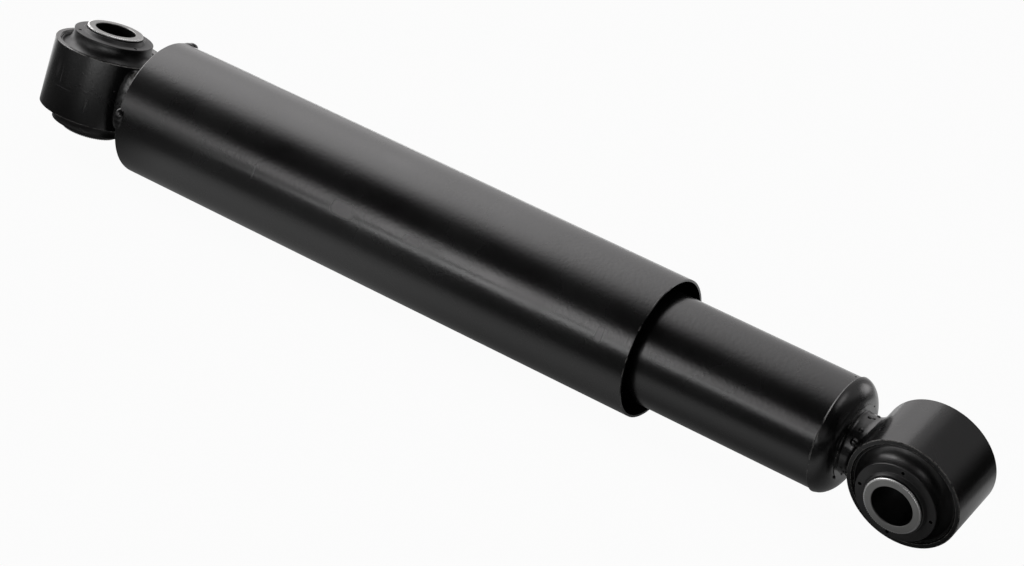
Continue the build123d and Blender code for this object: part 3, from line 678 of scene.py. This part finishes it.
def make_neck(place, side, foot_x, outline, courses, lump, segments=144):
    """Weld neck from a plate at foot_x to the ring, in the eye's frame.

    Each course is (distance off the ring, share of the way from there, half width across, half width along
    the bore, roughness).
    """
    bm = bmesh.new()
    bmesh.ops.create_circle(bm, cap_ends=False, radius=1.0, segments=segments)
    bmesh.ops.rotate(bm, cent=(0, 0, 0), matrix=Matrix.Rotation(radians(90), 3, "Y"), verts=bm.verts)
    ring = bm.verts[:]
    edges = bm.edges[:]
    seat_r = RING_R - 0.0003
    for index, (away, share, across, along, rough) in enumerate(courses):
        if index:
            grown = bmesh.ops.extrude_edge_only(bm, edges=edges)["geom"]
            ring = [item for item in grown if isinstance(item, bmesh.types.BMVert)]
            edges = [
                item for item in grown
                if isinstance(item, bmesh.types.BMEdge) and all(vert in ring for vert in item.verts)
            ]
        for vert in ring:
            angle = atan2(vert.co.z, vert.co.y)
            radius = outline(angle, across, along)
            seed = Vector((cos(angle) * 5, sin(angle) * 5, share * 4 + away * 900 + side))
            radius += lump * rough * (noise.noise(seed * 0.9) + 0.5 * noise.noise(seed * 2.3))
            y, z = radius * cos(angle), radius * sin(angle)
            start = sqrt(max(seat_r**2 - y**2, 0)) + away
            vert.co = (side * (start + (foot_x - start) * share), y, z)
    bmesh.ops.holes_fill(bm, edges=[edge for edge in bm.edges if edge.is_boundary], sides=0)
    bmesh.ops.recalc_face_normals(bm, faces=bm.faces)
    bmesh.ops.transform(bm, matrix=place, verts=bm.verts)
    return bm


def add_drop(bm, centre, normal, size, flatness, seed, stretch=1.0):
    """A frozen droplet of weld metal: a lumpy ball, flattened on the surface that it sits on."""
    made = bmesh.ops.create_icosphere(bm, subdivisions=3, radius=1.0)["verts"]
    turn = Vector((0, 0, 1)).rotation_difference(normal).to_matrix()
    for vert in made:
        bump = 1 + 0.10 * noise.noise(vert.co * 1.6 + Vector((seed, 0, 0)))
        local = Vector((vert.co.x * stretch, vert.co.y, vert.co.z * flatness)) * size * bump
        vert.co = centre + turn @ local


class DAMPER_OT_bushes(bpy.types.Operator):
    """Moulded rubber bush in each eye ring"""

    bl_idname = "damper.bushes"
    bl_label = "Rubber bushes"

    def execute(self, context):
        sizes = context.scene.damper_sizes
        for name, place, angles, dust in (
            ("upper_bush", UPPER_EYE, (-129, -14, 110), 0.9),
            ("lower_bush", LOWER_EYE, (-85, 5, 95, 185), 0.25),
        ):
            bm = make_bush(name, place, sizes, angles)
            rubber = rubber_material(name + " rubber", place, dust)
            body = body_of(frame["nodes"][name])[0]
            make_piece(name + "_rubber", bm, rubber, body, "bush_rubber", name)
        return {"FINISHED"}


class DAMPER_OT_sleeves(bpy.types.Operator):
    """Steel sleeve through each bush, serrated at its ends"""

    bl_idname = "damper.sleeves"
    bl_label = "Bush sleeves"

    def execute(self, context):
        sizes = context.scene.damper_sizes
        for name, place in (("upper_sleeve", UPPER_EYE), ("lower_sleeve", LOWER_EYE)):
            bm = make_sleeve(place, sizes)
            steel = sleeve_material(name + " steel", place)
            body = body_of(frame["nodes"][name])[0]
            make_piece(name + "_serrated", bm, steel, body, "sleeve_steel", name, sharp=radians(20))
        return {"FINISHED"}


class DAMPER_OT_eye_welds(bpy.types.Operator):
    """Weld necks that join the two rings to the damper"""

    bl_idname = "damper.eye_welds"
    bl_label = "Eye welds"

    def execute(self, context):
        # Two light patches on the upper weld neck: wear, and a painted highlight along the bead.
        wear_and_highlight_patches = (
            (Vector((0.0318, -0.0178, 0.0135)), (0.0022, 0.004, 0.0070), 0.75, 0.5),
            (Vector((0.0322, -0.0180, 0.0050)), (0.0017, 0.004, 0.0065), 0.45, 0.2),
        )
        paint = paint_material(
            "weld paint", wear_and_highlight_patches=wear_and_highlight_patches, peel_depth=0.00004, lumps=1.2, specks=3.0, wear_level=0.72
        )
        upper = [
            (0, 0.0, 0.0004, 0.0004, 0), (0, 0.0, 0.008, 0.008, 0), (0, 0.0, 0.015, 0.014, 0),
            (0, 0.0, 0.0216, 0.0198, 0.2), (0.0004, 0.0, 0.0204, 0.0195, 0.4),
            (0.0010, 0.0, 0.0192, 0.0192, 0.6), (0.0018, 0.0, 0.0183, 0.0190, 0.8),
            (0.0028, 0.0, 0.0178, 0.0189, 1), (0.0028, 0.12, 0.0176, 0.0189, 1),
            (0.0028, 0.25, 0.0176, 0.0189, 1), (0.0028, 0.4, 0.0177, 0.0189, 1),
            (0.0028, 0.6, 0.0181, 0.0190, 1), (0.0028, 0.8, 0.0188, 0.0194, 1),
            (0.0028, 1.0, 0.0200, 0.0200, 0.3),
        ]
        bm = make_neck(UPPER_EYE, 1, PLATE_X + 0.0001, barrel_outline, upper, 0.0003)
        soft = radians(60)
        make_piece("upper_weld_neck", bm, paint, "rod_side", "weld_paint", "upper_eye_weld", sharp=soft)
        lower = [
            (0, 0.0, 0.0004, 0.0004, 0), (0, 0.0, 0.010, 0.008, 0), (0, 0.0, 0.0208, 0.0196, 0.1),
            (0.0003, 0.0, 0.0199, 0.0191, 0.2), (0.0007, 0.0, 0.0191, 0.0187, 0.3),
            (0.0011, 0.0, 0.0186, 0.0184, 0.3), (0.0014, 0.0, 0.0184, 0.0183, 0.3),
            (0.0017, 0.0, 0.0182, 0.0181, 0.4), (0.0023, 0.0, 0.0178, 0.0178, 0.6),
            (0.0023, 0.3, 0.0178, 0.0178, 1), (0.0023, 0.6, 0.0178, 0.0178, 1),
            (0.0023, 0.82, 0.0179, 0.0179, 1), (0.0023, 0.93, 0.0181, 0.0181, 1),
            (0.0023, 1.0, 0.0187, 0.0187, 0.3),
        ]
        foot = LOWER_EYE.translation.x - CAP_X + 0.0002
        bm = make_neck(LOWER_EYE, -1, foot, oval_outline, lower, 0.00018)
        make_piece("lower_weld_neck", bm, paint, "reservoir_side", "weld_paint", "lower_eye_weld", sharp=soft)
        return {"FINISHED"}


class DAMPER_OT_tack_welds(bpy.types.Operator):
    """Weld buttons that hold the dust tube on its end plate"""

    bl_idname = "damper.tack_welds"
    bl_label = "Tack welds"

    def execute(self, context):
        bm = bmesh.new()
        for index, angle in enumerate((91, 213, 337.5)):
            for turn, x, below, size, flatness, stretch in (
                (0, 0.0014, 0.0006, 0.0042, 0.62, 0.78), (5.6, 0.0012, 0.0008, 0.0036, 0.48, 0.85),
                (9.0, 0.0014, 0.0008, 0.0026, 0.45, 1.0),
            ):
                centre = on_tube(TUBE_LOW.x + x, angle + turn, TUBE_R - below)
                add_drop(bm, centre, on_tube(0, angle + turn, 1), size, flatness, index * 3 + turn, stretch)
        paint = paint_material("tack paint", peel_depth=0.00001, gloss=0.8, wear_level=0.95)
        make_piece("tack_weld_drops", bm, paint, "rod_side", "weld_paint", "dust_tube_tack_welds")
        return {"FINISHED"}


class DAMPER_OT_spatter(bpy.types.Operator):
    """Droplets of weld metal that were painted over beside the welds"""

    bl_idname = "damper.spatter"
    bl_label = "Weld spatter"

    def execute(self, context):
        paint = paint_material("spatter paint", peel_depth=0.00002, wear_level=0.75)
        bm = bmesh.new()
        for index, (x, angle, size) in enumerate(
            ((0.5244, 12, 0.0010), (0.5221, 14, 0.0013), (0.5245, -6, 0.0011), (0.5229, 48, 0.0016),
             (0.5226, 72, 0.0024), (0.5214, 141, 0.0013), (0.5222, 152, 0.0011), (0.5230, 200, 0.0009),
             (0.5228, 262, 0.0012), (0.5240, 310, 0.0008))
        ):
            centre = on_tube(x, angle, LOWER_NECK_R - size * 0.35)
            add_drop(bm, centre, on_tube(0, angle, 1), size, 0.8, index)
        for index, (x, radius, angle, size) in enumerate(
            ((0.5052, RESERVOIR_R, -3, 0.0005), (CAP_BOSS_X, 0.0216, -27, 0.0006),
             (CAP_BOSS_X, 0.0224, 145, 0.0009), (CAP_BOSS_X, 0.0184, 167, 0.0009),
             (CAP_BOSS_X, 0.0215, 230, 0.0006))
        ):
            out = Vector((1, 0, 0)) if x == CAP_BOSS_X else on_tube(0, angle, 1)
            add_drop(bm, on_tube(x, angle, radius), out, size, 0.8, index + 20)
        make_piece("lower_weld_spatter", bm, paint, "reservoir_side", "weld_paint")

        draw = random.Random(7)
        bm = bmesh.new()
        for index in range(16):
            turn = radians(draw.uniform(-75, 75))
            height = draw.uniform(-0.017, 0.017)
            out = Vector((cos(turn), sin(turn), 0))
            size = draw.uniform(0.0002, 0.0005)
            add_drop(bm, out * RING_R + Vector((0, 0, height)), out, size, 0.6, index + 40)
        make_piece("upper_weld_spatter", bm, paint, "rod_side", "weld_paint")
        return {"FINISHED"}


class DAMPER_OT_cad_finishes(bpy.types.Operator):
    """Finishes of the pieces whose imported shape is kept"""

    bl_idname = "damper.cad_finishes"
    bl_label = "Finishes of kept pieces"

    def execute(self, context):
        # Positive patches lighten the paint along the front highlight band, partly wipe marks and partly
        # painted sheen; negative ones are only glossier.
        marks = (
            (on_tube(0.204, 81, TUBE_R), (0.0085, 0.02, 0.0052), 0.62, 0.55),
            (on_tube(0.204, 91, TUBE_R), (0.0080, 0.02, 0.0040), -1.0, 0.4),
            (on_tube(0.252, 79, TUBE_R), (0.0085, 0.02, 0.0042), 0.45, 0.3),
            (on_tube(0.266, 74, TUBE_R), (0.0060, 0.02, 0.0030), 0.22, 0.2),
            (on_tube(0.252, 89, TUBE_R), (0.0110, 0.02, 0.0035), -0.8, 0.3),
            (on_tube(0.376, 81, TUBE_R), (0.0028, 0.02, 0.0052), 0.8, 0.4),
            (on_tube(0.142, 84, TUBE_R), (0.0006, 0.02, 0.0060), 0.40, 0.2),
            (on_tube(0.152, 50, TUBE_R), (0.0090, 0.008, 0.0070), -1.0, 0.5),
            (on_tube(0.132, 53, TUBE_R), (0.0040, 0.006, 0.0050), -0.8, 0.3),
            (on_tube(0.310, 37, TUBE_R), (0.0250, 0.008, 0.0080), 0.09, 0.3),
            (on_tube(0.215, 22, TUBE_R), (0.0130, 0.006, 0.0060), 0.07, 0.3),
        )
        scratches = (
            (Vector((-0.0105, -0.032, 0.006)), (0.0022, 0.02, 0.0075), 0.10, 0.2),
            (Vector((-0.0065, -0.033, 0.003)), (0.0008, 0.02, 0.0090), 0.14, 0.1),
            (Vector((0.0135, -0.030, -0.009)), (0.0005, 0.02, 0.0050), 0.30, 0.1),
            (Vector((-0.004, -0.033, -0.0035)), (0.0100, 0.02, 0.0004), 0.16, 0.1),
            (Vector((-0.016, -0.029, 0.0)), (0.0030, 0.02, 0.0120), -1.0, 0.2),
        )
        paints = {
            "dust_tube": paint_material("dust tube paint", marks, peel_depth=0.00004, peel_scale=480.0),
            # The reservoir's lighter patch is a painted highlight.
            "reservoir_tube": paint_material(
                "reservoir paint", ((on_tube(0.411, 81, RESERVOIR_R), (0.010, 0.02, 0.0035), 0.3, 0.1),),
                peel_depth=0.00004, peel_scale=480.0,
            ),
            "upper_eye_ring": paint_material(
                "upper ring paint", scratches, specks=1.2, gloss=0.75, wear_level=0.36, peel_depth=0.00004
            ),
            "lower_eye_ring": paint_material(
                "lower ring paint", gloss=0.68, wear_level=0.36, peel_scale=520.0, peel_depth=0.00004
            ),
        }
        paints["dust_end_plate"] = paints["dust_tube"]
        paints["lower_end_cap"] = paints["reservoir_tube"]
        inner = {
            "hard_chrome": metal_material(
                "hard chrome", (0.62, 0.63, 0.65), 0.12, pitch=0.0005, depth=0.000001
            ),
            "machined_steel": metal_material("machined steel", (0.46, 0.46, 0.47), 0.3),
            "spring_steel": metal_material("spring steel", (0.34, 0.34, 0.36), 0.26, pitch=0.0006),
            "sintered_iron": metal_material("sintered iron", (0.17, 0.165, 0.16), 0.55, depth=0.00002),
            "bronze": metal_material("bronze", (0.55, 0.33, 0.14), 0.34),
            "slide_plastic": metal_material("slide plastic", (0.14, 0.1, 0.07), 0.45, metallic=0.0),
            "stop_rubber": metal_material("stop rubber", (0.02, 0.02, 0.02), 0.6, metallic=0.0),
            "seal_rubber": metal_material("seal rubber", (0.03, 0.018, 0.012), 0.5, metallic=0.0),
        }
        slots = {part["node"]: part["material_slot"] for part in frame["record"]["subparts"]}
        for name, node in frame["nodes"].items():
            material = paints.get(name) or inner.get(slots.get(name)) or paints["dust_tube"]
            node.data.materials.clear()
            node.data.materials.append(material)
        return {"FINISHED"}


def softbox(name, place, target, width, height, radiance):
    """A rectangular lamp of a given radiance, facing a target."""
    data = bpy.data.lights.new(name, "AREA")
    data.shape = "RECTANGLE"
    data.size = width
    data.size_y = height
    data.energy = radiance * width * height * pi
    lamp = bpy.data.objects.new(name, data)
    lamp.location = place
    lamp.rotation_euler = (Vector(target) - Vector(place)).to_track_quat("-Z", "Y").to_euler()
    bpy.context.scene.collection.objects.link(lamp)
    return lamp


def floor_material():
    """Pale floor, white to the camera but for the damper's shadow, glowing to reflections: painted shade
    near, brighter in front.
    """
    material, tree, shader, vector = new_material("pale floor")
    shader.inputs["Base Color"].default_value = (0.45, 0.45, 0.45, 1)
    shader.inputs["Roughness"].default_value = 0.9
    shader.inputs["Specular IOR Level"].default_value = 0.0
    rays = add(tree, "LightPath").outputs
    place = add(tree, "SeparateXYZ", {0: vector}).outputs
    # Glow seen in reflections: painted shade close to the damper, a faint lighter stripe, brighter further
    # out.
    border = ramp(tree, place["X"], 0.0, 0.07, -0.12, -0.175)
    front = ramp(tree, place["Y"], border, -0.33, 0.04, 1.0)
    front = product(
        tree, front, ramp(tree, place["X"], -0.03, 0.08, 0.45, 2.5),
        ramp(tree, place["X"], 0.18, 0.32, 1.0, 0.4),
    )
    stripe = product(
        tree, ramp(tree, place["Y"], -0.02, -0.05, 0.03, 0.25), ramp(tree, place["Y"], -0.08, -0.052),
        ramp(tree, place["X"], 0.02, 0.07),
    )
    near = sums(tree, "ADD", front, stripe)
    near = product(tree, near, ramp(tree, place["X"], 0.54, 0.61, 1.0, 0.15))
    back = product(
        tree, ramp(tree, place["Y"], -0.02, 0.16, 0.02, 0.42), ramp(tree, place["X"], 0.66, 0.76, 1.0, 0.3),
        ramp(tree, place["X"], -0.04, -0.09, 1.0, 2.6),
    )
    gloss = sums(tree, "ADD", near, back)
    seen = sums(tree, "MAXIMUM", rays["Is Camera Ray"], rays["Is Transmission Ray"])
    level = ramp(tree, seen, 0.0, 1.0, gloss, 1.0, smooth=False)
    glow = add(tree, "Emission", {"Color": (1, 1, 1, 1), "Strength": level}).outputs[0]
    share = sums(tree, "MAXIMUM", sums(tree, "MULTIPLY", seen, 0.96), rays["Is Glossy Ray"])
    mixed = add(tree, "MixShader", {0: share, 1: shader.outputs[0], 2: glow})
    tree.links.new(mixed.outputs[0], tree.nodes["Material Output"].inputs["Surface"])
    return material


def studio_world():
    """White to the camera, and for light a studio: an overhead box, a front strip, dim walls and two fills.

    Lean is the angle of a direction from straight up towards -Y, in degrees: 90 is the horizon in front.
    """
    world = bpy.data.worlds.new("studio")
    world.use_nodes = True
    tree = world.node_tree
    tree.nodes.clear()
    way = add(tree, "SeparateXYZ", {0: add(tree, "TexCoord").outputs["Generated"]}).outputs
    along = way["X"]
    forward = product(tree, way["Y"], -1.0)
    lean = product(tree, sums(tree, "ARCTAN2", forward, way["Z"]), 180 / pi)
    right = ramp(tree, along, -0.31, 0.08)

    left = product(tree, ramp(tree, along, -0.60, -0.70, 0.0, 1.3), ramp(tree, lean, -45.0, 5.0))
    edge = ramp(tree, along, -0.74, -0.58, 62.0, 38.0)
    box = product(
        tree, sums(tree, "ADD", ramp(tree, along, -0.44, -0.31, 1.62, 0.34), left),
        ramp(tree, right, 0.0, 1.0, 1.0, 0.35), ramp(tree, lean, -80.0, 8.0),
        ramp(tree, sums(tree, "DIVIDE", lean, edge), 1.0, 0.0),
    )

    strip = product(
        tree, ramp(tree, along, -0.50, -0.45, 0.6, 2.7), ramp(tree, along, -0.39, -0.34, 1.0, 0.26),
        ramp(tree, lean, 66.0, 86.0), ramp(tree, right, 0.0, 1.0, 1.0, 0.3),
    )

    low_back = product(
        tree, ramp(tree, lean, -45.0, -74.0), ramp(tree, along, -0.36, -0.53, 0.0, 0.24),
        ramp(tree, lean, -88.0, -76.0),
    )
    dark_back = product(tree, ramp(tree, lean, -40.0, -72.0), ramp(tree, along, 0.35, 0.62, 0.0, 0.95))
    wall = product(
        tree, ramp(tree, lean, 25.0, -30.0, 0.02, 0.43), ramp(tree, right, 0.0, 1.0, 1.0, 0.55),
        sums(tree, "SUBTRACT", 1.0, dark_back),
    )
    wall = sums(tree, "ADD", wall, low_back)

    top_fill = product(tree, ramp(tree, lean, -16.0, 2.0), ramp(tree, lean, 32.0, 12.0))
    rear_fill = product(tree, ramp(tree, lean, -84.0, -74.0), ramp(tree, lean, -48.0, -62.0))
    fill = product(
        tree, sums(tree, "ADD", top_fill, rear_fill), ramp(tree, along, 0.12, 0.27),
        ramp(tree, along, 0.60, 0.46),
    )

    level = sums(tree, "ADD", sums(tree, "ADD", sums(tree, "ADD", box, strip), wall), fill)
    level = product(tree, level, ramp(tree, along, 0.62, 0.80, 1.0, 0.2))
    rays = add(tree, "LightPath").outputs
    seen = sums(tree, "MAXIMUM", rays["Is Camera Ray"], rays["Is Transmission Ray"])
    level = ramp(tree, seen, 0.0, 1.0, level, 1.0, smooth=False)
    tint = blend_colour(tree, seen, (1.0, 0.98, 0.985), (1, 1, 1))
    back = add(tree, "Background", {"Color": tint, "Strength": level})
    output = add(tree, "OutputWorld")
    tree.links.new(back.outputs[0], output.inputs["Surface"])
    return world


class DAMPER_OT_stage(bpy.types.Operator):
    """Floor, lamps, background and camera"""

    bl_idname = "damper.stage"
    bl_label = "Studio and camera"

    def execute(self, context):
        scene = context.scene
        settings = scene.damper_stage
        bm = bmesh.new()
        bmesh.ops.create_circle(bm, cap_ends=True, radius=3.0, segments=96)
        bmesh.ops.translate(bm, vec=(0.28, 0, cad_box[0].z - 0.0002), verts=bm.verts)
        mesh = bpy.data.meshes.new("floor")
        bm.to_mesh(mesh)
        bm.free()
        mesh.materials.append(floor_material())
        floor = bpy.data.objects.new("floor", mesh)
        scene.collection.objects.link(floor)
        scene.world = studio_world()
        side = settings.kicker_size
        lower_eye = LOWER_EYE.translation
        softbox("kicker", settings.kicker_place, lower_eye, side, side, settings.kicker_radiance)
        scene.view_settings.view_transform = "Standard"

        data = bpy.data.cameras.new("camera")
        data.lens = settings.lens
        data.sensor_width = 36
        camera = bpy.data.objects.new("camera", data)
        scene.collection.objects.link(camera)
        turn = (
            Matrix.Rotation(settings.azimuth, 4, "Z")
            @ Matrix.Rotation(radians(90) - settings.elevation, 4, "X")
            @ Matrix.Rotation(settings.roll, 4, "Z")
        )
        camera.matrix_world = Matrix.Translation(settings.camera_place) @ turn
        scene.camera = camera
        return {"FINISHED"}


class DAMPER_PT_panel(bpy.types.Panel):
    """Sidebar list of the damper's pieces"""

    bl_idname = "DAMPER_PT_panel"
    bl_label = "Shock absorber"
    bl_space_type = "VIEW_3D"
    bl_region_type = "UI"
    bl_category = "Damper"

    def draw(self, context):
        for step in STEPS:
            self.layout.operator(step.bl_idname)
        for group in (context.scene.damper_sizes, context.scene.damper_finish, context.scene.damper_stage):
            box = self.layout.box()
            for name in group.__annotations__:
                box.prop(group, name)


STEPS = (
    DAMPER_OT_cad_finishes,
    DAMPER_OT_bushes,
    DAMPER_OT_sleeves,
    DAMPER_OT_eye_welds,
    DAMPER_OT_tack_welds,
    DAMPER_OT_spatter,
    DAMPER_OT_stage,
)
CLASSES = (DamperSizes, DamperFinish, DamperStage, *STEPS, DAMPER_PT_panel)


def register():
    for each in CLASSES:
        bpy.utils.register_class(each)
    bpy.types.Scene.damper_sizes = PointerProperty(type=DamperSizes)
    bpy.types.Scene.damper_finish = PointerProperty(type=DamperFinish)
    bpy.types.Scene.damper_stage = PointerProperty(type=DamperStage)


def unregister():
    del bpy.types.Scene.damper_stage
    del bpy.types.Scene.damper_finish
    del bpy.types.Scene.damper_sizes
    for each in reversed(CLASSES):
        bpy.utils.unregister_class(each)


def main():
    register()
    bpy.ops.damper.cad_finishes()
    bpy.ops.damper.bushes()
    bpy.ops.damper.sleeves()
    bpy.ops.damper.eye_welds()
    bpy.ops.damper.tack_welds()
    bpy.ops.damper.spatter()
    bpy.ops.damper.stage()


if __name__ == "__main__":
    main()
